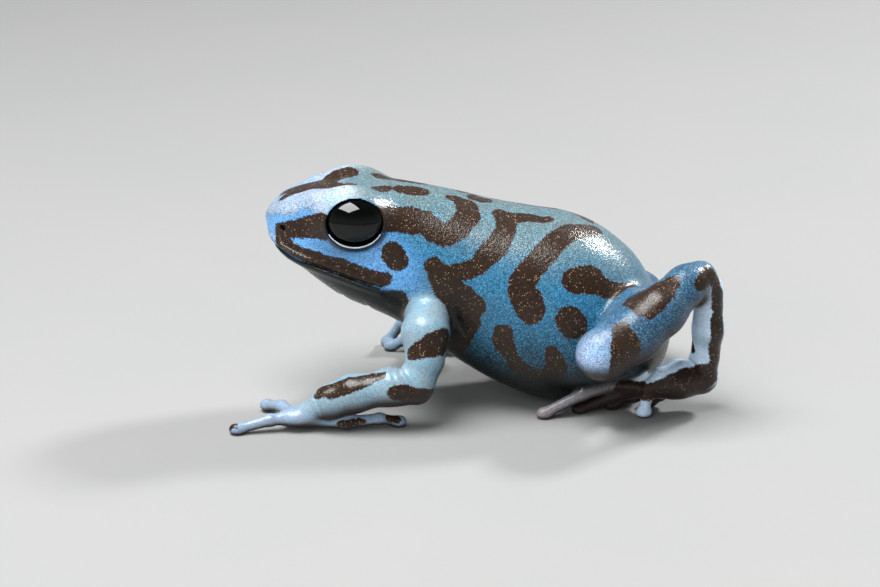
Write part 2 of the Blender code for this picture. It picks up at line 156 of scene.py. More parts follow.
SHANK_LEFT = (
    (11.2, -10.3, 7.3, 2.4),
    (14.0, -9.6, 9.0, 2.4),
    (16.4, -8.4, 10.8, 2.25),
    (18.8, -6.5, 12.5, 1.75),
    (20.1, -5.6, 13.0, 1.5),
)
TARSUS_LEFT = ((20.9, -5.1, 11.6, 1.4), (21.0, -4.9, 8.0, 1.3), (20.8, -4.6, 5.2, 1.35))
SOLE_LEFT = ((20.4, -4.3, 3.2, 1.7), (18.3, -5.0, 3.1, 1.65), (15.6, -5.6, 2.5, 1.1))
TOES_LEFT = (
    ((18.0, -4.2, 2.4), (16.9, -3.6, 1.2), (15.8, -3.7, 0.46)),
    ((16.2, -4.9, 2.3), (14.4, -4.4, 1.3), (12.4, -4.4, 0.46)),
    ((15.6, -5.4, 2.4), (12.4, -5.3, 1.6), (9.4, -5.4, 0.46)),
    ((15.3, -5.7, 2.7), (12.3, -5.8, 2.9), (9.6, -6.3, 2.1), (6.2, -6.8, 0.46)),
    ((18.4, -5.6, 4.2), (16.7, -6.2, 4.0), (15.7, -6.5, 3.0), (15.2, -6.5, 0.46)),
)
THIGH_RIGHT = ((15.2, 4.4, 8.0, 2.4), (12.8, 7.0, 7.4, 2.4), (10.4, 9.6, 6.8, 2.0))
SHANK_RIGHT = ((9.6, 10.9, 4.9, 2.1), (12.6, 10.3, 5.2, 2.2), (15.2, 8.9, 6.2, 1.8), (16.8, 7.7, 7.0, 1.4))
TARSUS_RIGHT = ((17.2, 8.0, 5.5, 1.3), (16.4, 9.6, 3.7, 1.2), (15.4, 10.8, 2.6, 1.2))
SOLE_RIGHT = ((14.4, 11.8, 1.5, 1.3), (12.0, 12.7, 1.3, 1.2), (10.2, 13.0, 1.1, 0.9))
TOES_RIGHT = (
    ((13.0, 11.6, 1.1), (12.2, 10.6, 0.8), (11.0, 10.2, 0.46)),
    ((11.6, 12.2, 1.1), (9.6, 11.2, 0.8), (8.0, 11.0, 0.46)),
    ((10.4, 12.8, 1.1), (8.2, 12.5, 0.9), (5.8, 12.6, 0.46)),
    ((10.2, 13.0, 1.1), (7.0, 13.8, 1.0), (3.6, 14.4, 0.46)),
    ((11.4, 13.4, 1.1), (9.8, 14.6, 0.9), (8.2, 15.4, 0.46)),
)
PALM_RADII = (1.9, 1.35, 0.95)
FINGER_RADII = (0.62, 0.45)
TOE_RADII = (0.72, 0.48)
FINGER_DISC = (0.74, 0.64, 0.54)
TOE_DISC = (0.74, 0.64, 0.54)
DOME_MELT = 1.3
BROW_MELT = 1.0
HIP_MELT = 1.5
SHOULDER_MELT = 0.9
JOINT_MELT = 0.9
SKIN_MELT = 0.35

# Folds of the skin where it bends: the middle of each, the direction across it and its reach.
FOLDS = (
    ((-4.5, -6.3, 9.2), (0.0, -0.9, -0.4), 3.6),
    ((-6.1, -9.8, 4.9), (0.7, 0.0, 0.7), 4.2),
    ((-7.0, -9.9, 4.6), (1.0, 0.0, 0.4), 3.4),
    ((-14.0, -9.9, 2.6), (-1.0, 0.0, -0.4), 2.6),
    ((19.4, -5.8, 11.3), (-0.85, -0.45, 0.45), 4.0),
    ((19.5, -4.9, 4.6), (1.0, 0.3, 1.0), 3.8),
    ((-4.5, 6.3, 9.2), (0.0, 0.9, -0.4), 3.6),
    ((-0.8, 10.3, 6.3), (0.2, -0.6, 1.0), 3.8),
    ((-3.7, 11.5, 2.1), (-0.7, 0.1, -0.7), 2.8),
    ((14.9, 11.3, 2.0), (-0.7, 0.6, -0.4), 3.0),
    ((-6.6, 0.0, 7.2), (1.0, 0.0, 0.3), 5.2),
    ((-9.6, 0.0, 9.2), (0.85, 0.0, 0.5), 7.0),
    ((-12.4, 0.0, 10.9), (0.8, 0.0, 0.6), 6.0),
    ((-1.2, -6.6, 8.4), (1.0, 0.0, 0.5), 2.2),
    ((-1.2, 6.6, 8.4), (1.0, 0.0, 0.5), 2.2),
)
FOLD_GROOVE = 0.27

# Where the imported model's origin lies in the forms' millimetres, read from its left eye.
LEFT_EYE = np.mean(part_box("eye_left"), axis=0) / MM
FRAME_SHIFT = LEFT_EYE - np.array((EYE_CENTRE[0], -EYE_CENTRE[1], EYE_CENTRE[2]))

# The camera as the photo has it: it looks along +Y and down, from the frog's left side.
VIEW_DOWN = math.radians(18.0)
VIEW_DISTANCE = 320.0
VIEW_TARGET = (-3.2, 0.0, 9.65)
LENS = 143.3
SENSOR = 36.0
PHOTO_WIDTH, PHOTO_HEIGHT = 880, 587
# How many millimetres of the frog a photo pixel covers.
PIXEL = 0.0913

SIDES = ("left", "right")
FLESH = ["head", "torso"] + [
    f"{part}_{side}"
    for side in SIDES
    for part in ("upper_arm", "forearm", "hand", "thigh", "shank", "tarsus", "foot")
]


def smooth_curve(stations, values, at):
    """A smooth curve through the values at the stations, read at the given places."""
    slopes = np.gradient(values, stations)
    at = np.clip(at, stations[0], stations[-1])
    left = np.clip(np.searchsorted(stations, at) - 1, 0, len(stations) - 2)
    width = stations[left + 1] - stations[left]
    t = (at - stations[left]) / width
    return (
        (1 + 2 * t) * (1 - t) ** 2 * values[left]
        + t * (1 - t) ** 2 * width * slopes[left]
        + t * t * (3 - 2 * t) * values[left + 1]
        + t * t * (t - 1) * width * slopes[left + 1]
    )


def smooth_step(low, high, value):
    """0 up to low and 1 from high on, or the other way round where low is the greater."""
    t = np.clip((value - low) / (high - low), 0, 1)
    return t * t * (3 - 2 * t)


def melt(a, b, width):
    """Joins two forms, given by the distance to each, with a fillet about as wide as asked."""
    share = np.clip(0.5 + 0.5 * (b - a) / width, 0, 1)
    return b + (a - b) * share - width * share * (1 - share)


def carve(a, b, width):
    """Takes the second form out of the first, with a rounded edge."""
    return -melt(-a, b, width)


class Ball:
    """An ellipsoid, turned about the vertical."""

    def __init__(self, centre, radii, turn=0.0):
        self.centre, self.radii, self.turn = centre, radii, turn
        self.low = np.array(centre) - max(radii)
        self.high = np.array(centre) + max(radii)

    def distance(self, x, y, z):
        x, y, z = x - self.centre[0], y - self.centre[1], z - self.centre[2]
        along = x * math.cos(self.turn) + y * math.sin(self.turn)
        across = y * math.cos(self.turn) - x * math.sin(self.turn)
        p, q, r = self.radii
        size = np.sqrt((along / p) ** 2 + (across / q) ** 2 + (z / r) ** 2) + NEAR_ZERO
        slope = np.sqrt((along / p**2) ** 2 + (across / q**2) ** 2 + (z / r**2) ** 2) + NEAR_ZERO
        return size * (size - 1) / slope


class Length:
    """A straight length of limb with round ends, which tapers from one radius to the other."""

    def __init__(self, start, end, start_radius, end_radius):
        self.start, self.end = np.array(start), np.array(end)
        self.start_radius, self.end_radius = start_radius, end_radius
        reach = max(start_radius, end_radius)
        self.low = np.minimum(self.start, self.end) - reach
        self.high = np.maximum(self.start, self.end) + reach

    def distance(self, x, y, z):
        axis = self.end - self.start
        x, y, z = x - self.start[0], y - self.start[1], z - self.start[2]
        t = np.clip((x * axis[0] + y * axis[1] + z * axis[2]) / (axis @ axis), 0, 1)
        away = np.sqrt((x - t * axis[0]) ** 2 + (y - t * axis[1]) ** 2 + (z - t * axis[2]) ** 2)
        return away - self.start_radius - (self.end_radius - self.start_radius) * t


class Trunk:
    """The head and torso, lofted along x through the sections."""

    low, high = (np.array(corner) for corner in TRUNK_BOX)

    def distance(self, x, y, z, step=None):
        """The distance, evened out where the places are a grid of the given step."""
        within = np.clip(x, SNOUT_X + END_CAP, RUMP_X - END_CAP)
        columns = [np.array(column) for column in zip(*SECTIONS)]
        top, middle, bottom, half, square = (
            smooth_curve(columns[0], column, within) for column in columns[1:]
        )
        front = np.clip((within - SNOUT_X) / SNOUT_ROUND, 0, 1)
        back = np.clip((RUMP_X - within) / RUMP_ROUND, 0, 1)
        closing = np.sqrt(1 - (1 - front) ** 2) * np.sqrt(1 - (1 - back) ** 2)
        tip_z = np.where(x < 0, SNOUT_TIP_Z, RUMP_TIP_Z)
        middle = tip_z + (middle - tip_z) * closing
        upper = np.maximum(tip_z + (top - tip_z) * closing - middle, THINNEST)
        lower = np.maximum(middle - tip_z - (bottom - tip_z) * closing, THINNEST)
        half = np.maximum(half * closing, THINNEST)
        height = np.where(z > middle, upper, lower)
        power = np.where(z > middle, square, UNDERSIDE_SQUARE)
        size = (np.abs(y / half) ** power + np.abs((z - middle) / height) ** power) ** (1 / power)
        value = (size - 1) * np.minimum(half, height)
        if step:
            slope = np.sqrt(sum(part**2 for part in np.gradient(value, step)))
            value = value / np.clip(slope, *SLOPE_LIMITS)
        return np.where(x == within, value, np.hypot(np.maximum(value, 0), x - within))


def chain(stations):
    """Lengths from station to station, each an x, y, z and radius."""
    return [Length(a[:3], b[:3], a[3], b[3]) for a, b in zip(stations, stations[1:])]


def digit(points, radii, disc):
    """A finger or toe with a flat round disc at its tip."""
    taper = np.linspace(radii[0], radii[1], len(points))
    forms = chain([(*point, radius) for point, radius in zip(points, taper)])
    before, tip = points[-2], points[-1]
    return forms + [Ball(tip, disc, math.atan2(tip[1] - before[1], tip[0] - before[0]))]


def hand(palm, fingers):
    """A palm, turned the way its third finger points, and its fingers."""
    heading = math.atan2(fingers[2][-1][1] - palm[1], fingers[2][-1][0] - palm[0])
    forms = [(Ball(palm, PALM_RADII, heading), JOINT_MELT)]
    for points in fingers:
        forms += [(form, SKIN_MELT) for form in digit(points, FINGER_RADII, FINGER_DISC)]
    return forms


def foot(sole, toes):
    """A sole and its toes."""
    forms = [(form, JOINT_MELT) for form in chain(sole)]
    for points in toes:
        forms += [(form, SKIN_MELT) for form in digit(points, TOE_RADII, TOE_DISC)]
    return forms


def limb(stations, root_melt):
    """A chain whose first length melts into the body over its own width."""
    lengths = chain(stations)
    return [(lengths[0], root_melt)] + [(form, JOINT_MELT) for form in lengths[1:]]


def flesh():
    """The forms of each body part, with the width over which each melts into the ones before."""
    x, y, z = DOME_CENTRE
    domes = [(Ball((x, side * y, z), DOME_RADII), DOME_MELT) for side in (-1, 1)]
    brows = [
        (form, BROW_MELT)
        for side in (-1, 1)
        for form in chain([(x, side * y, z, radius) for x, y, z, radius in BROW])
    ]
    return {
        "trunk": [(Trunk(), 0.0)] + domes + brows,
        "upper_arm_left": limb(UPPER_ARM_LEFT, SHOULDER_MELT),
        "forearm_left": limb(FOREARM_LEFT, JOINT_MELT),
        "hand_left": hand(PALM_LEFT, FINGERS_LEFT),
        "upper_arm_right": limb(UPPER_ARM_RIGHT, SHOULDER_MELT),
        "forearm_right": limb(FOREARM_RIGHT, JOINT_MELT),
        "hand_right": hand(PALM_RIGHT, FINGERS_RIGHT),
        "thigh_left": limb(THIGH_LEFT, HIP_MELT),
        "shank_left": limb(SHANK_LEFT, SKIN_MELT),
        "tarsus_left": limb(TARSUS_LEFT, JOINT_MELT),
        "foot_left": foot(SOLE_LEFT, TOES_LEFT),
        "thigh_right": limb(THIGH_RIGHT, HIP_MELT),
        "shank_right": limb(SHANK_RIGHT, SKIN_MELT),
        "tarsus_right": limb(TARSUS_RIGHT, JOINT_MELT),
        "foot_right": foot(SOLE_RIGHT, TOES_RIGHT),
    }


def outside_eye(x, y, z, room):
    """About how far places are outside the eyeball of the +y side, grown by the room round it."""
    across, out, up = (
        (at - middle) / (radius + room) for at, middle, radius in zip((x, y, z), EYE_CENTRE, EYE_RADII)
    )
    return (np.sqrt(across**2 + np.abs(out) ** EYE_FRONT + up**2) - 1) * min(EYE_RADII)


def mouth_height(x):
    """The height of the mouth line at each x."""
    return smooth_curve(*(np.array(column) for column in zip(*MOUTH)), x)


def outside_lids(x, z):
    """About how far places, seen from the side, are outside the opening between the lids."""
    away = np.hypot((x - LID_CENTRE[0]) / LID_OPENING[0], (z - LID_CENTRE[1]) / LID_OPENING[1])
    return (away - 1) * min(LID_OPENING)


def model_face(x, y, z, total):
    """Raises the lips and lids, and cuts the mouth, nostrils, ears and eye openings."""
    above_mouth = z - mouth_height(x)
    behind = x - MOUTH[-1][0]
    flesh_depth = total
    for offset in (LIP, -LIP):
        lip = np.hypot(above_mouth - offset, flesh_depth + LIP_DEPTH) - LIP
        total = melt(total, np.maximum(lip, behind), LIP)
    mouth = np.hypot(above_mouth, flesh_depth) - MOUTH_GROOVE
    total = carve(total, np.maximum(mouth, behind), GROOVE)
    off_lids = outside_lids(x, z)
    lid = np.hypot(off_lids, flesh_depth + LID_RIM / 2) - LID_RIM
    total = melt(total, lid, LID_RIM)
    for side in (-1, 1):
        nostril = np.sqrt((x - NOSTRIL[0]) ** 2 + (y - side * NOSTRIL[1]) ** 2 + (z - NOSTRIL[2]) ** 2)
        total = carve(total, nostril - NOSTRIL_RADIUS, GROOVE)
        ear = np.hypot(np.hypot(x - EAR[0], z - EAR[1]) - EAR_RADIUS, flesh_depth) - EAR_GROOVE
        total = carve(total, np.maximum(ear, -side * y), GROOVE)
        opening = np.maximum(off_lids, EYE_CENTRE[1] - side * y)
        total = carve(total, np.minimum(opening, outside_eye(x, side * y, z, -EYE_OVERLAP)), GROOVE)
    return total


def fold(x, y, z, total, middle, across, reach):
    """Presses a shallow crease into the skin, deepest at its middle."""
    x, y, z = x - middle[0], y - middle[1], z - middle[2]
    aside = (x * across[0] + y * across[1] + z * across[2]) / math.hypot(*across)
    away = np.sqrt(x**2 + y**2 + z**2)
    radius = FOLD_GROOVE * (1 - smooth_step(0, reach, away) * 2)
    return carve(total, np.hypot(aside, total) - radius, FOLD_GROOVE)


def windows(axes, low, high):
    """The part of the grid round a box, with the margin."""
    return tuple(
        slice(*np.searchsorted(axis, (a - MARGIN, b + MARGIN))) for axis, a, b in zip(axes, low, high)
    )


def places(axes, window):
    """The x, y and z of a part of the grid, each along its own axis."""
    x, y, z = (axis[cut] for axis, cut in zip(axes, window))
    return x[:, None, None], y[None, :, None], z[None, None, :]


def relaxed(points, quads):
    """Draws each vertex towards the middle of its neighbours, which evens out the steps of the grid."""
    for _ in range(RELAX_ROUNDS):
        drawn, count = np.zeros_like(points), np.zeros(len(points))
        for corner in range(4):
            for other in (quads[:, corner - 1], quads[:, (corner + 1) % 4]):
                np.add.at(drawn, quads[:, corner], points[other])
                np.add.at(count, quads[:, corner], 1)
        points = (points + drawn / count[:, None]) / 2
    return points


def skin_mesh(parts):
    """The skin as one mesh in millimetres, at the solids' own place."""
    forms = [form for part in parts.values() for form, _ in part]
    low = np.min([form.low for form in forms], axis=0) - MARGIN
    high = np.max([form.high for form in forms], axis=0) + MARGIN
    axes = [np.arange(a, b, STEP) for a, b in zip(low, high)]
    total = np.full([len(axis) for axis in axes], MARGIN)
    for part in parts.values():
        for form, width in part:
            window = windows(axes, form.low, form.high)
            x, y, z = places(axes, window)
            if isinstance(form, Trunk):
                total[window] = np.minimum(form.distance(x, y, z, STEP), MARGIN)
            else:
                total[window] = melt(total[window], form.distance(x, y, z), width)
    for middle, across, reach in FOLDS:
        window = windows(axes, np.array(middle) - reach, np.array(middle) + reach)
        total[window] = fold(*places(axes, window), total[window], middle, across, reach)
    head = windows(axes, *HEAD_BOX)
    x, y, z = places(axes, head)
    total[head] = model_face(x, y, z, total[head])
    total = np.maximum(total, -axes[2][None, None, :])
    grid = openvdb.FloatGrid(MARGIN)
    grid.copyFromArray(np.clip(total, -MARGIN, MARGIN))
    grid.transform = openvdb.createLinearTransform(voxelSize=STEP)
    points, quads = grid.convertToQuads(isovalue=0.0)
    points = relaxed(points, quads) + [axis[0] for axis in axes]
    mesh = bpy.data.meshes.new("skin")
    mesh.from_pydata(points, [], quads.tolist())
    mesh.validate()
    return mesh


def view_pixels(points):
    """Where points, in millimetres, are seen in the photo, and which way its camera lies from them."""
    eye = np.array(VIEW_TARGET) + VIEW_DISTANCE * np.array((0, -math.cos(VIEW_DOWN), math.sin(VIEW_DOWN)))
    away = points - eye
    depth = away[:, 1] * math.cos(VIEW_DOWN) - away[:, 2] * math.sin(VIEW_DOWN)
    up = away[:, 1] * math.sin(VIEW_DOWN) + away[:, 2] * math.cos(VIEW_DOWN)
    focal = LENS / SENSOR * PHOTO_WIDTH
    u = PHOTO_WIDTH / 2 + focal * away[:, 0] / depth
    v = PHOTO_HEIGHT / 2 - focal * up / depth
    return u, v, -away / np.linalg.norm(away, axis=1)[:, None]


# The brown markings of the side that the photo shows, as strokes: each point is a photo pixel
# and half the stroke's width there, in pixels.
TRUNK_STROKES = (
    ((384, 218, 13), (397, 218, 12), (412, 220, 14), (424, 221, 11), (434, 230, 11), (445, 235, 11),
     (458, 229, 11), (468, 216, 11), (467, 205, 10), (457, 199, 6), (450, 197, 3)),
    ((402, 189, 8), (412, 190, 9), (420, 191, 8)),
    ((475, 197, 6), (486, 200, 6)),
    # The next two strokes run into the hollow behind the near arm, where they are partly brown marking and
    # partly painted shade.
    ((434, 266, 8), (440, 276, 11), (447, 288, 13), (462, 300, 15), (474, 306, 11)),
    ((462, 318, 18), (456, 336, 15), (447, 350, 10)),
    ((457, 272, 8), (470, 271, 8), (482, 262, 9), (493, 250, 11), (501, 240, 10), (506, 230, 9),
     (505, 218, 9)),
    ((500, 214, 7), (512, 217, 8), (528, 217, 7), (541, 219, 6), (549, 219, 4)),
    ((596, 229, 6), (586, 230, 9), (572, 231, 10), (557, 240, 10), (545, 254, 11), (533, 267, 11),
     (523, 281, 12), (521, 291, 12), (528, 303, 15), (531, 310, 14)),
    ((575, 281, 12), (590, 279, 14), (600, 283, 9)),
    ((602, 287, 9), (613, 291, 9), (622, 290, 7), (632, 286, 4)),
    ((569, 320, 13), (573, 325, 13)),
    ((503, 333, 9), (503, 342, 10), (509, 353, 8), (515, 363, 6), (527, 368, 4)),
    ((551, 351, 5), (554, 358, 8), (556, 368, 10)),
    ((515, 367, 7), (526, 373, 8), (538, 377, 9), (552, 376, 10)),
    ((281, 227, 5), (289, 229, 7), (300, 228, 9), (312, 227, 11), (322, 226, 12), (330, 226, 14)),
    ((279, 233, 5), (283, 242, 7), (288, 250, 8), (300, 256, 8), (312, 260, 8), (325, 264, 8),
     (340, 268, 9), (353, 273, 9), (367, 278, 8), (379, 281, 8), (387, 279, 5)),
    ((392, 253, 10), (397, 261, 10)),
    ((388, 298, 6), (398, 299, 9), (402, 308, 10), (400, 320, 8)),
    ((284, 197, 5), (293, 192, 7), (303, 188, 9), (315, 184, 10), (327, 181, 10), (338, 175, 10),
     (348, 173, 10)),
    ((379, 176, 7), (386, 178, 6)),
)
ARM_STROKES = (
    ((411, 354, 5), (421, 350, 8), (432, 345, 11), (443, 341, 12)),
    ((394, 393, 6), (404, 394, 8), (416, 397, 8), (427, 397, 7), (434, 392, 4)),
    ((318, 392, 6), (332, 390, 8), (346, 386, 8), (360, 382, 7), (372, 378, 6), (382, 375, 3)),
    ((388, 417, 2), (396, 419, 4)),
    ((340, 424, 2), (352, 423, 3), (364, 422, 2)),
    ((229, 427, 3), (236, 426, 2)),
)
LEG_STROKES = (
    ((621, 331, 9), (625, 344, 13), (626, 358, 14), (621, 369, 12), (616, 378, 9)),
    ((632, 300, 10), (645, 302, 15), (650, 311, 8), (660, 291, 14), (672, 282, 8)),
    ((701, 284, 7), (709, 275, 8), (716, 281, 6)),
    ((717, 291, 6), (719, 310, 7), (718, 330, 7), (716, 348, 7), (716, 362, 7)),
    ((692, 343, 3), (693, 349, 3)),
    ((711, 374, 11), (698, 380, 14), (684, 384, 14), (670, 388, 12), (655, 391, 9), (640, 391, 8),
     (622, 388, 7)),
)
TRUNK = ("trunk",)
NEAR_ARM = ("upper_arm_left", "forearm_left", "hand_left")
NEAR_LEG = ("thigh_left", "shank_left", "tarsus_left", "foot_left")
# The far limbs' markings, which the photo hides, in millimetres: places close to the skin, with
# half the stroke's width there.
FAR_ARM_STROKES = (
    ((-2.6, 8.0, 11.2, 0.9), (-1.6, 9.4, 9.9, 1.2), (-2.0, 9.9, 8.2, 1.0)),
    ((1.6, 12.0, 6.8, 0.8), (0.6, 12.4, 5.4, 1.0), (-0.8, 12.2, 4.8, 0.8)),
    ((-2.2, 12.2, 4.4, 0.6), (-3.2, 12.5, 3.4, 0.7)),
)
FAR_LEG_STROKES = (
    ((13.6, 8.2, 10.4, 0.8), (11.6, 9.9, 9.3, 1.2), (10.2, 11.2, 8.0, 0.9)),
    ((9.0, 12.9, 5.6, 1.0), (8.3, 12.4, 4.0, 1.2)),
    ((12.2, 12.4, 5.8, 1.0), (13.8, 11.6, 6.6, 1.3), (15.0, 10.4, 7.0, 0.8)),
    ((18.0, 9.0, 6.0, 0.8), (17.6, 10.0, 4.6, 0.9), (16.6, 10.9, 3.4, 0.7)),
    ((14.2, 13.0, 2.2, 0.8), (12.4, 13.9, 1.8, 0.7)),
)
FAR_ARM = ("upper_arm_right", "forearm_right", "hand_right")
FAR_LEG = ("thigh_right", "shank_right", "tarsus_right", "foot_right")
# How strongly a stroke keeps to its own body parts, how far the far side's markings drift, and
# what a pixel's vertex has to be: close to those body parts and turned to the camera.
GROUP_HOLD = 2.0
FAR_DRIFT = 0.6
FAR_DRIFT_X = (-8.0, -4.0)
FAR_WAVES = (0.8, 0.5, 0.6)
STROKE_MELT = 0.35
SHARE_SOFTNESS = 0.5
OFF_LIMIT = 0.3
FACING_LIMIT = 0.02
UNFIT = 1e6
BARE = 5.0

# Where each zone of colour, of painted sheen and highlight and of painted shade begins and is full: by place in
# millimetres, by how far the skin faces up, by the height over the mouth line or by the distance outside the
# lids.
HEAD_X = (-3.4, -7.2)
BACK_SHEEN_UP = (0.3, 0.85)
LOW_FLANK_SHADE_Z = (11.0, 4.0)
LOW_FLANK_SHADE_X = (-6.0, -2.0)
FACE_UP = (0.5, 0.0)
SNOUT_UP = (0.1, 0.55)
SNOUT_BACK_X = (-11.0, -13.5)
BROW_PLACE, BROW_SPREAD = (-12.0, 4.2, 20.4), 2.2
TOE_X = (15.0, 13.5)
TOE_Y = (-9.0, -8.0)
KNEE_PLACE, KNEE_SPREAD = (10.4, -11.9, 7.3), 4.0
BELLY_Z = (6.0, 3.0)
BELLY_UP = (-0.3, -0.75)
VENT_Z = (8.0, 5.0)
VENT_X = (12.5, 15.0)
VENT_UP = (0.5, 0.0)
THROAT_BELOW_MOUTH = (0.1, -0.3)
THROAT_X = (-5.0, -8.5)
LID_SHADE = (0.75, 0.1)
LID_SHADE_Z = (0.2, -1.2)
UNDERSIDE_SHADE_UP = (0.0, -0.6)
INNER_TOES = (0.25, -0.05)
INNER_TOES_X = (18.5, 17.0)
INNER_TOE_COUNT = 3
ARMPIT = (-1.9, 8.8)
ARMPIT_SPREAD = (2.4, 9.0)


class Skin:
    """The vertices of the skin, and how far each is from the forms of each body part."""

    def __init__(self, mesh, parts):
        count = len(mesh.vertices)
        self.points = np.empty(count * 3)
        self.normals = np.empty(count * 3)
        mesh.vertices.foreach_get("co", self.points)
        mesh.vertex_normals.foreach_get("vector", self.normals)
        self.points = self.points.reshape(-1, 3)
        self.normals = self.normals.reshape(-1, 3)
        self.near = {
            name: nearest([form for form, _ in forms], self.points) for name, forms in parts.items()
        }
        self.nearest = np.min(list(self.near.values()), axis=0)
        self.u, self.v, self.toward = view_pixels(self.points)
        self.facing = np.einsum("ij,ij->i", self.toward, self.normals)

    def off(self, names):
        """How much further each vertex is from these body parts than from its nearest one."""
        return np.min([self.near[name] for name in names], axis=0) - self.nearest

    def share(self, name):
        """1 on a body part, fading to 0 on its neighbours."""
        return np.exp(-self.off((name,)) / SHARE_SOFTNESS)

    def both(self, *names):
        """The same for body parts that both sides have."""
        return np.maximum.reduce([self.share(f"{name}_{side}") for name in names for side in SIDES])

    def at_pixel(self, u, v, off):
        """The place on the skin that is seen at a pixel of the photo."""
        unfit = (off > OFF_LIMIT) | (self.facing < FACING_LIMIT)
        return self.points[np.argmin((self.u - u) ** 2 + (self.v - v) ** 2 + UNFIT * unfit)]

    def seen(self, pixels, names):
        """The places of a stroke that is given in photo pixels."""
        off = self.off(names)
        return [(*self.at_pixel(u, v, off), radius * PIXEL) for u, v, radius in pixels]

    def onto(self, place):
        """The vertex of the skin that is nearest to a place."""
        return self.points[np.argmin(np.sum((self.points - place) ** 2, axis=1))]

    def line(self, stations, names):
        """The distance from a stroke, greater off its own body parts."""
        return nearest(chain(stations), self.points) + GROUP_HOLD * self.off(names)


def nearest(forms, points):
    """The distance from each point to the nearest of some forms."""
    x, y, z = points.T
    return np.min([form.distance(x, y, z) for form in forms], axis=0)


def far_place(place):
    """Where a near marking is found again on the far side, a little off behind the head."""
    x, y, z = place
    drift = smooth_step(*FAR_DRIFT_X, x) * FAR_DRIFT
    along, high, lift = FAR_WAVES
    return x + drift * math.sin(along * x + high * z), -y, z + drift * math.cos(lift * x)


def markings(skin):
    """The distance from the brown markings, below 0 inside them."""
    strokes = [
        (skin.seen(pixels, names), names)
        for group, names in ((TRUNK_STROKES, TRUNK), (ARM_STROKES, NEAR_ARM), (LEG_STROKES, NEAR_LEG))
        for pixels in group
    ]
    for group, names in ((FAR_ARM_STROKES, FAR_ARM), (FAR_LEG_STROKES, FAR_LEG)):
        for stations in group:
            strokes.append(([(*skin.onto(place), radius) for *place, radius in stations], names))
    brown = np.full(len(skin.points), BARE)
    for stations, names in strokes:
        brown = melt(brown, skin.line(stations, names), STROKE_MELT)
        if names == TRUNK:
            other = [(*skin.onto(far_place(place)), radius) for *place, radius in stations]
            brown = melt(brown, skin.line(other, names), STROKE_MELT)
    return brown


def blob(points, place, spread):
    """1 at a place, fading out round it."""
    return np.exp(-np.sum((points - place) ** 2, axis=1) / spread)


def zones_of(skin):
    """How far each vertex is in each zone of colour, painted sheen, painted highlight or painted shade, from 0
    to 1, the zones of painted shade last.
    """
    x, y, z = skin.points.T
    up = skin.normals[:, 2]
    either_side = np.column_stack((x, np.abs(y), z))
    trunk = skin.share("trunk")
    head = trunk * smooth_step(*HEAD_X, x)
    inner, outer = (
        nearest([form for toe in toes for form in digit(toe, TOE_RADII, TOE_DISC)], skin.points)
        for toes in (TOES_LEFT[:INNER_TOE_COUNT], TOES_LEFT[INNER_TOE_COUNT:])
    )
    arms, hands, feet = skin.both("upper_arm", "forearm"), skin.both("hand"), skin.both("foot")
    tarsi = np.maximum(skin.both("tarsus"), feet)
    vent = smooth_step(*VENT_Z, z) * smooth_step(*VENT_X, x) * smooth_step(*VENT_UP, up)
    belly_shade = np.maximum.reduce([smooth_step(*BELLY_Z, z), smooth_step(*BELLY_UP, up), vent])
    from_armpit = (x - ARMPIT[0]) ** 2 / ARMPIT_SPREAD[0] + (z - ARMPIT[1]) ** 2 / ARMPIT_SPREAD[1]
    # Painted shade below the lower lid.
    shade_below_lid = smooth_step(*LID_SHADE, outside_lids(x, z)) * smooth_step(*LID_SHADE_Z, z - LID_CENTRE[1])
    in_shadow = smooth_step(*INNER_TOES, inner - outer) * smooth_step(*INNER_TOES_X, x)
    below_mouth = smooth_step(*THROAT_BELOW_MOUTH, z - mouth_height(x))
    return {
        # Where the trunk faces up it is paler: partly the back's own tone, partly painted sheen.
        "back": trunk * smooth_step(*BACK_SHEEN_UP, up),
        # The lower flank turns a darker, deeper teal towards the bottom: painted shade.
        "low_flank_shade": trunk * smooth_step(*LOW_FLANK_SHADE_Z, z) * smooth_step(*LOW_FLANK_SHADE_X, x),
        "face": head * smooth_step(*FACE_UP, up),
        # The upward-facing top of the snout, paler: partly its own tone, partly painted sheen.
        "snout_tone_and_sheen": head * smooth_step(*SNOUT_UP, up) * smooth_step(*SNOUT_BACK_X, x),
        # A whitish patch over each eye: partly its own tone, partly painted sheen.
        "brow_tone_and_sheen": head * blob(either_side, BROW_PLACE, BROW_SPREAD),
        "arm": arms,
        "hand": hands,
        "leg": skin.both("thigh", "shank"),
        # The tarsi and feet: their own pale blue, lightened further as painted light where the shank keeps the
        # lamps off them.
        "tarsus": tarsi,
        "toe": feet * smooth_step(*TOE_X, x) * smooth_step(*TOE_Y, y),
        # A pale patch on the near knee: painted highlight.
        "knee_highlight": skin.share("shank_left") * blob(skin.points, KNEE_PLACE, KNEE_SPREAD),
        "smooth": np.maximum.reduce([arms, hands, tarsi]),
        # The underside, near black where it is low or faces down: painted shade.
        "belly_shade": trunk * belly_shade,
        # Dark under the jaw, below the mouth line: painted shade.
        "throat_shade": trunk * below_mouth * smooth_step(*THROAT_X, x),
        # Darker below the lower lid: painted shade.
        "lid": head * shade_below_lid,
        # Limbs darker where they face down: painted shade.
        "underside_shade": smooth_step(*UNDERSIDE_SHADE_UP, up) * (1 - trunk),
        # The inner toes of the near foot, dark where the knee shades them: painted shadow.
        "inner_toe_shadow": skin.share("foot_left") * in_shadow,
        # Near black in the hollow behind the near arm: painted shade.
        "armpit_shade": trunk * np.exp(-from_armpit),
    }


def paint(mesh, parts):
    """Stores the markings and the zones of colour, painted sheen, painted highlight and painted shade on the
    skin's vertices.
    """
    skin = Skin(mesh, parts)
    for name, values in {"brown": markings(skin), **zones_of(skin)}.items():
        attribute = mesh.attributes.new(name, "FLOAT", "POINT")
        attribute.data.foreach_set("value", values.astype(np.float32))
    return skin.points


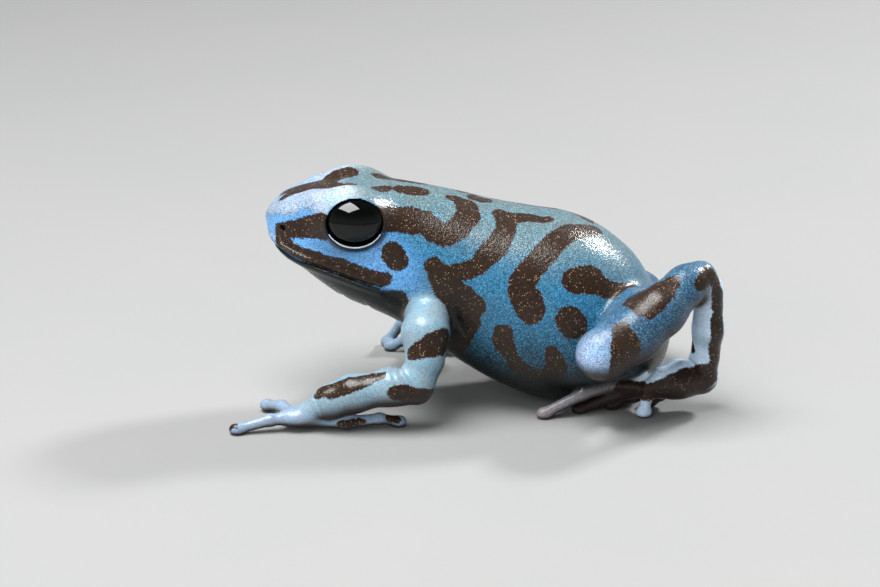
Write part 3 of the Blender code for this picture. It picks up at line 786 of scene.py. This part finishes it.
def linear(*screen_colour):
    """The shader's colour for a red, green and blue of 0 to 255."""
    shares = [value / 255 for value in screen_colour]
    return (*((v / 12.92 if v <= 0.04045 else ((v + 0.055) / 1.055) ** 2.4) for v in shares), 1)


FLANK = linear(52, 112, 142)
PALE_ZONES = {
    # The paler upward-facing back: partly its own tone, partly painted sheen.
    "back": linear(106, 116, 110),
    # Darker deep teal low on the flank: painted shade.
    "low_flank_shade": linear(14, 40, 50),
    "face": linear(124, 186, 246),
    # The paler snout top: partly its own tone, partly painted sheen.
    "snout_tone_and_sheen": linear(166, 170, 184),
    # The whitish brow patch: partly its own tone, partly painted sheen.
    "brow_tone_and_sheen": linear(204, 212, 210),
    "arm": linear(134, 152, 160),
    "hand": linear(140, 152, 168),
    "leg": linear(58, 84, 106),
    # Near white: the tarsi's own pale blue lifted by painted light.
    "tarsus": linear(216, 234, 252),
    "toe": linear(132, 114, 110),
    # The pale near knee: painted highlight.
    "knee_highlight": linear(196, 210, 238),
}
# Zones of painted shade, laid over the markings.
PAINTED_SHADE_ZONES = {
    # Near black underside: painted shade.
    "belly_shade": linear(7, 10, 9),
    # The dark throat: painted shade.
    "throat_shade": linear(14, 20, 20),
    # Below the lower lid: painted shade.
    "lid": linear(18, 24, 36),
    # Downward-facing limbs: painted shade.
    "underside_shade": linear(44, 34, 32),
    # The inner toes: painted shadow.
    "inner_toe_shadow": linear(38, 28, 26),
    # The armpit hollow: painted shade.
    "armpit_shade": linear(8, 8, 7),
}
BROWN = linear(31, 21, 13)
BROWN_RIM = linear(34, 17, 11)
BROWN_GRAIN = linear(66, 46, 32)
GOLD = linear(176, 146, 120)
GLINT = linear(126, 208, 238)
SHADE = linear(20, 56, 116)
EYE_BLACKS = linear(2, 3, 3), linear(9, 11, 9)
# The pale lower-lid edge: a painted reflection along the wet rim.
LID_REFLECTION_PALES = linear(196, 204, 208), linear(140, 156, 164)
FLOOR_GREYS = linear(138, 138, 137), linear(134, 135, 135)

# The skin's pattern: the sizes of its granules, specks and noises in millimetres, with the noise's
# detail where there are two numbers, how strongly each shows, and for each ramp where it begins and
# is full, with the values there if they aren't 0 and 1.
GRANULE_SIZE = 0.1
COARSE_SIZE = 0.26
SPECK_SIZE = 0.15
SPECK_NOISE = 0.6
EDGE_NOISE = (0.7, 3.0)
CLOUD_NOISE = 2.6
RELIEF_NOISE = 0.8
MIDDLE = 0.5
EDGE_WAVER = 0.45
EDGE_DITHER = 0.14
BROWN_EDGE = (0.17, 0.05)
RIM_EDGE = (-0.35, 0.0)
GRAIN_LEFT = (0.0, 1.0, 1.0, 0.5)
BORDERS = (0.25, 0.8)
BORDER_SHADE = 0.5
GLINTING = (0.4, 1.0, 0.0, 0.3)
SHADED = (0.8, 0.0, 0.0, 0.45)
CLOUDS = (0.35, 0.7, 0.0, 0.3)
SPECK_EDGE = (0.42, 0.26)
SPECK_CHANCE = (0.55, 0.9)
SPECK_PATCHES = (0.42, 0.58)
SPECK_STRENGTH = 0.75
BROWN_GRAINS = (0.0, 1.0, 0.0, 0.3)
SKIN_ROUGHNESS = (0.0, 1.0, 0.38, 0.58)
COARSE_BORDERS = (0.1, 0.75)
COARSE_HEIGHT = 1.6
RELIEF_HEIGHT = 1.2
BUMP_STRENGTH = 0.6
BUMP_DEPTH = 0.011

# The eyes, lids and studio. Each lamp has a direction from the frog, a distance, a width, a height,
# a strength and whether it shows in reflections.
EYE_CLOUDS = (0.4, 0.8, 0.0, 0.4)
EYE_NOISE = (0.5, 3.0)
LID_NOISE = 0.3
FLOOR_NOISE = 30.0
FLOOR_SIZE = 4
WORLD_COLOUR = (0.93, 0.96, 1.0, 1)
WORLD_GLOW = (("From Min", 0.0), ("From Max", 0.75), ("To Min", 0.36), ("To Max", 0.08))
LAMP_AIM = (0.0, 0.0, 0.009)
LAMPS = {
    "overhead": ((-0.28, -0.16, 0.95), 0.3, 0.24, 0.18, 2.15, True),
    "behind right": ((0.6, 0.52, 0.6), 0.35, 0.05, 0.045, 1.4, True),
    "front fill": ((-0.5, -0.9, 0.5), 0.4, 0.4, 0.3, 1.0, False),
}


class Nodes:
    """Short ways to add shader nodes to one material."""

    def __init__(self, name):
        self.material = bpy.data.materials.new(name)
        self.material.use_nodes = True
        self.tree = self.material.node_tree
        self.shader = self.tree.nodes["Principled BSDF"]
        self.place = self.add("ShaderNodeTexCoord").outputs["Object"]

    def add(self, kind, **settings):
        node = self.tree.nodes.new(kind)
        for key, value in settings.items():
            setattr(node, key, value)
        return node

    def link(self, value, socket):
        if isinstance(value, bpy.types.NodeSocket):
            self.tree.links.new(value, socket)
        else:
            socket.default_value = value

    def math(self, operation, *values):
        node = self.add("ShaderNodeMath", operation=operation)
        for value, socket in zip(values, node.inputs):
            self.link(value, socket)
        return node.outputs[0]

    def times(self, a, b):
        return self.math("MULTIPLY", a, b)

    def shifted(self, total, wave, strength):
        """A total that is raised and lowered by a wave of 0 to 1."""
        return self.math("MULTIPLY_ADD", self.math("SUBTRACT", wave, MIDDLE), strength, total)

    def mix(self, factor, a, b, blend="MIX"):
        node = self.add("ShaderNodeMix", data_type="RGBA", blend_type=blend)
        self.link(factor, node.inputs["Factor"])
        self.link(a, node.inputs["A"])
        self.link(b, node.inputs["B"])
        return node.outputs["Result"]

    def ramp(self, value, low, high, to_low=0.0, to_high=1.0):
        """A smooth ramp between two values."""
        node = self.add("ShaderNodeMapRange", interpolation_type="SMOOTHSTEP")
        self.link(value, node.inputs["Value"])
        for key, number in (("From Min", low), ("From Max", high), ("To Min", to_low), ("To Max", to_high)):
            node.inputs[key].default_value = number
        return node.outputs["Result"]

    def attribute(self, name):
        return self.add("ShaderNodeAttribute", attribute_name=name).outputs["Fac"]

    def noise(self, size, detail=2.0):
        """Noise whose blobs are about size millimetres across."""
        node = self.add("ShaderNodeTexNoise")
        self.link(self.place, node.inputs["Vector"])
        node.inputs["Scale"].default_value = 1 / (size * MM)
        node.inputs["Detail"].default_value = detail
        node.inputs["Roughness"].default_value = 0.5
        return node.outputs["Fac"]

    def cells(self, size):
        """Cells about size millimetres apart: the distance from the middle and two chances of each."""
        node = self.add("ShaderNodeTexVoronoi", feature="F1")
        self.link(self.place, node.inputs["Vector"])
        node.inputs["Scale"].default_value = 1 / (size * MM)
        chances = self.add("ShaderNodeSeparateColor")
        self.link(node.outputs["Color"], chances.inputs["Color"])
        return node.outputs["Distance"], chances.outputs["Red"], chances.outputs["Green"]

    def surface(self, values):
        """Gives the shader's inputs their links and even values, and returns the material."""
        for name, value in values.items():
            self.link(value, self.shader.inputs[name])
        return self.material


def skin_material():
    """Moist granular skin: zones of ground colour with painted sheen, highlights and shade, and brown markings
    with gold specks.
    """
    make = Nodes("frog skin")
    away, bright, tint = make.cells(GRANULE_SIZE)
    edge = make.shifted(make.attribute("brown"), make.noise(*EDGE_NOISE), EDGE_WAVER)
    edge = make.shifted(edge, tint, EDGE_DITHER)
    grain_left = make.ramp(make.attribute("smooth"), *GRAIN_LEFT)
    border = make.ramp(away, *BORDERS)
    ground_and_painted_light = FLANK
    for name, colour in PALE_ZONES.items():
        ground_and_painted_light = make.mix(make.attribute(name), ground_and_painted_light, colour)
    ground_and_painted_light = make.mix(make.times(make.ramp(tint, *GLINTING), grain_left), ground_and_painted_light, GLINT)
    for factor in (make.ramp(bright, *SHADED), make.times(border, BORDER_SHADE)):
        ground_and_painted_light = make.mix(make.times(factor, grain_left), ground_and_painted_light, SHADE, "MULTIPLY")
    ground_and_painted_light = make.mix(make.ramp(make.noise(CLOUD_NOISE), *CLOUDS), ground_and_painted_light, GLINT, "SOFT_LIGHT")

    from_speck, chance, _ = make.cells(SPECK_SIZE)
    speck = make.times(make.ramp(from_speck, *SPECK_EDGE), make.ramp(chance, *SPECK_CHANCE))
    speck = make.times(speck, make.ramp(make.noise(SPECK_NOISE), *SPECK_PATCHES))
    dark = make.mix(make.ramp(edge, *RIM_EDGE), BROWN, BROWN_RIM)
    dark = make.mix(make.ramp(bright, *BROWN_GRAINS), dark, BROWN_GRAIN)
    dark = make.mix(make.times(speck, SPECK_STRENGTH), dark, GOLD)
    colour = make.mix(make.ramp(edge, *BROWN_EDGE), ground_and_painted_light, dark)
    for name, shade in PAINTED_SHADE_ZONES.items():
        colour = make.mix(make.attribute(name), colour, shade)

    coarse = make.times(make.ramp(make.cells(COARSE_SIZE)[0], *COARSE_BORDERS), COARSE_HEIGHT)
    grain = make.times(make.math("ADD", border, coarse), grain_left)
    bump = make.add("ShaderNodeBump")
    bump.inputs["Strength"].default_value = BUMP_STRENGTH
    bump.inputs["Distance"].default_value = BUMP_DEPTH * MM
    relief = make.times(make.noise(RELIEF_NOISE), RELIEF_HEIGHT)
    make.link(make.math("SUBTRACT", relief, grain), bump.inputs["Height"])
    return make.surface({
        "Base Color": colour,
        "Roughness": make.ramp(bright, *SKIN_ROUGHNESS),
        "Normal": bump.outputs["Normal"],
        "Specular IOR Level": 0.1,
        "Coat Weight": 0.5,
        "Coat Roughness": 0.1,
        "Coat Normal": bump.outputs["Normal"],
    })


def eye_material():
    """A wet, nearly black eye."""
    make = Nodes("frog eye")
    dark = make.mix(make.ramp(make.noise(*EYE_NOISE), *EYE_CLOUDS), *EYE_BLACKS)
    return make.surface({"Base Color": dark, "Roughness": 0.03, "IOR": 1.42})


def lid_reflection_material():
    """The wet edge of the lower lid, pale with a painted reflection along it."""
    make = Nodes("lid edge with painted reflection")
    pale = make.mix(make.noise(LID_NOISE), *LID_REFLECTION_PALES)
    return make.surface({"Base Color": pale, "Roughness": 0.2, "Coat Weight": 0.6})


def floor_material():
    """A pale, plain, matt floor."""
    make = Nodes("pale floor")
    grey = make.mix(make.noise(FLOOR_NOISE), *FLOOR_GREYS)
    return make.surface({"Base Color": grey, "Roughness": 0.6})


def show(mesh, name, material, slot, *nodes):
    """Adds a piece of the visual model, which may take the place of some nodes."""
    piece = bpy.data.objects.new(name, mesh)
    bpy.context.scene.collection.objects.link(piece)
    mesh.materials.append(material)
    mesh.shade_smooth()
    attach(piece, "root")
    if nodes:
        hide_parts(*nodes)
    return piece


def to_frame(mesh):
    """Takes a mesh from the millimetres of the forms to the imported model's metres."""
    points = np.empty(len(mesh.vertices) * 3)
    mesh.vertices.foreach_get("co", points)
    points = (points.reshape(-1, 3) + FRAME_SHIFT) * MM
    mesh.vertices.foreach_set("co", points.ravel())
    mesh.update()


def eye_mesh(side):
    """An eyeball, a little flat in front and behind."""
    mesh = bpy.data.meshes.new("eye")
    ball = bmesh.new()
    bmesh.ops.create_uvsphere(ball, u_segments=EYE_SEGMENTS, v_segments=EYE_RINGS, radius=1)
    for vert in ball.verts:
        across, up, out = vert.co
        out = math.copysign(abs(out) ** (2 / EYE_FRONT), out)
        turned = zip(EYE_CENTRE, EYE_RADII, (across, out, up))
        x, y, z = (middle + radius * at for middle, radius, at in turned)
        vert.co = (x, side * y, z)
    ball.normal_update()
    bmesh.ops.recalc_face_normals(ball, faces=ball.faces)
    ball.to_mesh(mesh)
    ball.free()
    return mesh


def lid_edge(side, skin_points):
    """A thin wet line along the crest of the lower lid, from one corner of the eye to the other."""
    curve = bpy.data.curves.new("lid", "CURVE")
    curve.dimensions = "3D"
    curve.bevel_depth = LID_EDGE_RADIUS
    curve.bevel_resolution = LID_EDGE_ROUNDNESS
    spline = curve.splines.new("POLY")
    turns = np.radians(np.linspace(*LID_EDGE_TURNS, LID_EDGE_STATIONS))
    spline.points.add(len(turns) - 1)
    near = skin_points[side * skin_points[:, 1] > EYE_CENTRE[1]]
    for point, turn in zip(spline.points, turns):
        x = LID_CENTRE[0] + LID_OPENING[0] * math.cos(turn)
        z = LID_CENTRE[1] + LID_OPENING[1] * math.sin(turn)
        close = near[np.hypot(near[:, 0] - x, near[:, 2] - z) < STEP]
        y = np.max(side * close[:, 1])
        point.co = (x, side * y, z, 1)
        through = (turn - turns[0]) / (turns[-1] - turns[0])
        bulge = math.sin(through * math.pi) ** LID_EDGE_BULGE
        point.radius = LID_EDGE_TAPER + (1 - LID_EDGE_TAPER) * bulge
    guide = bpy.data.objects.new("guide", curve)
    bpy.context.scene.collection.objects.link(guide)
    mesh = bpy.data.meshes.new_from_object(guide.evaluated_get(bpy.context.evaluated_depsgraph_get()))
    bpy.data.objects.remove(guide)
    return mesh


def add_frog():
    """The skin, which takes the place of the flesh, the two eyes and the edges of their lower lids."""
    parts = flesh()
    mesh = skin_mesh(parts)
    skin_points = paint(mesh, parts)
    to_frame(mesh)
    show(mesh, "frog_skin", skin_material(), "skin", *FLESH)
    eye_look, lid_reflection_look = eye_material(), lid_reflection_material()
    for side, name in ((-1, "left"), (1, "right")):
        eye = eye_mesh(side)
        to_frame(eye)
        show(eye, f"wet_eye_{name}", eye_look, "eye", f"eye_{name}")
        lid = lid_edge(side, skin_points)
        to_frame(lid)
        show(lid, f"lid_edge_{name}", lid_reflection_look, "eye")


def add_camera():
    """The camera that was fitted to the photo's view."""
    camera = bpy.data.objects.new("camera", bpy.data.cameras.new("camera"))
    camera.data.lens = LENS
    camera.data.sensor_width = SENSOR
    toward = Vector((0, -math.cos(VIEW_DOWN), math.sin(VIEW_DOWN)))
    target = Vector(np.array(VIEW_TARGET) + FRAME_SHIFT) * MM
    camera.location = target + toward * VIEW_DISTANCE * MM
    camera.rotation_euler = (-toward).to_track_quat("-Z", "Y").to_euler()
    bpy.context.scene.collection.objects.link(camera)
    bpy.context.scene.camera = camera


def add_lamps():
    """Soft lamps that all face the frog."""
    aim = Vector(LAMP_AIM)
    for name, (direction, distance, width, height, energy, glossy) in LAMPS.items():
        light = bpy.data.lights.new(name, "AREA")
        light.shape = "RECTANGLE"
        light.size, light.size_y = width, height
        light.energy = energy
        lamp = bpy.data.objects.new(name, light)
        lamp.location = aim + Vector(direction).normalized() * distance
        lamp.rotation_euler = (lamp.location - aim).to_track_quat("Z", "Y").to_euler()
        lamp.visible_glossy = glossy
        bpy.context.scene.collection.objects.link(lamp)


def add_floor():
    """The plain floor that the frog rests on."""
    bpy.ops.mesh.primitive_plane_add(size=FLOOR_SIZE)
    floor = bpy.context.object
    floor.name = "floor"
    floor.data.materials.append(floor_material())


def add_world():
    """A pale world, brighter towards the horizon."""
    world = bpy.data.worlds.new("studio")
    bpy.context.scene.world = world
    world.use_nodes = True
    tree = world.node_tree
    background = tree.nodes["Background"]
    background.inputs["Color"].default_value = WORLD_COLOUR
    place = tree.nodes.new("ShaderNodeTexCoord").outputs["Generated"]
    height = tree.nodes.new("ShaderNodeSeparateXYZ")
    tree.links.new(place, height.inputs[0])
    glow = tree.nodes.new("ShaderNodeMapRange")
    glow.interpolation_type = "SMOOTHSTEP"
    tree.links.new(height.outputs["Z"], glow.inputs["Value"])
    for key, number in WORLD_GLOW:
        glow.inputs[key].default_value = number
    tree.links.new(glow.outputs["Result"], background.inputs["Strength"])


add_camera()
add_frog()
add_floor()
add_world()
add_lamps()
bpy.context.scene.view_settings.view_transform = "Standard"
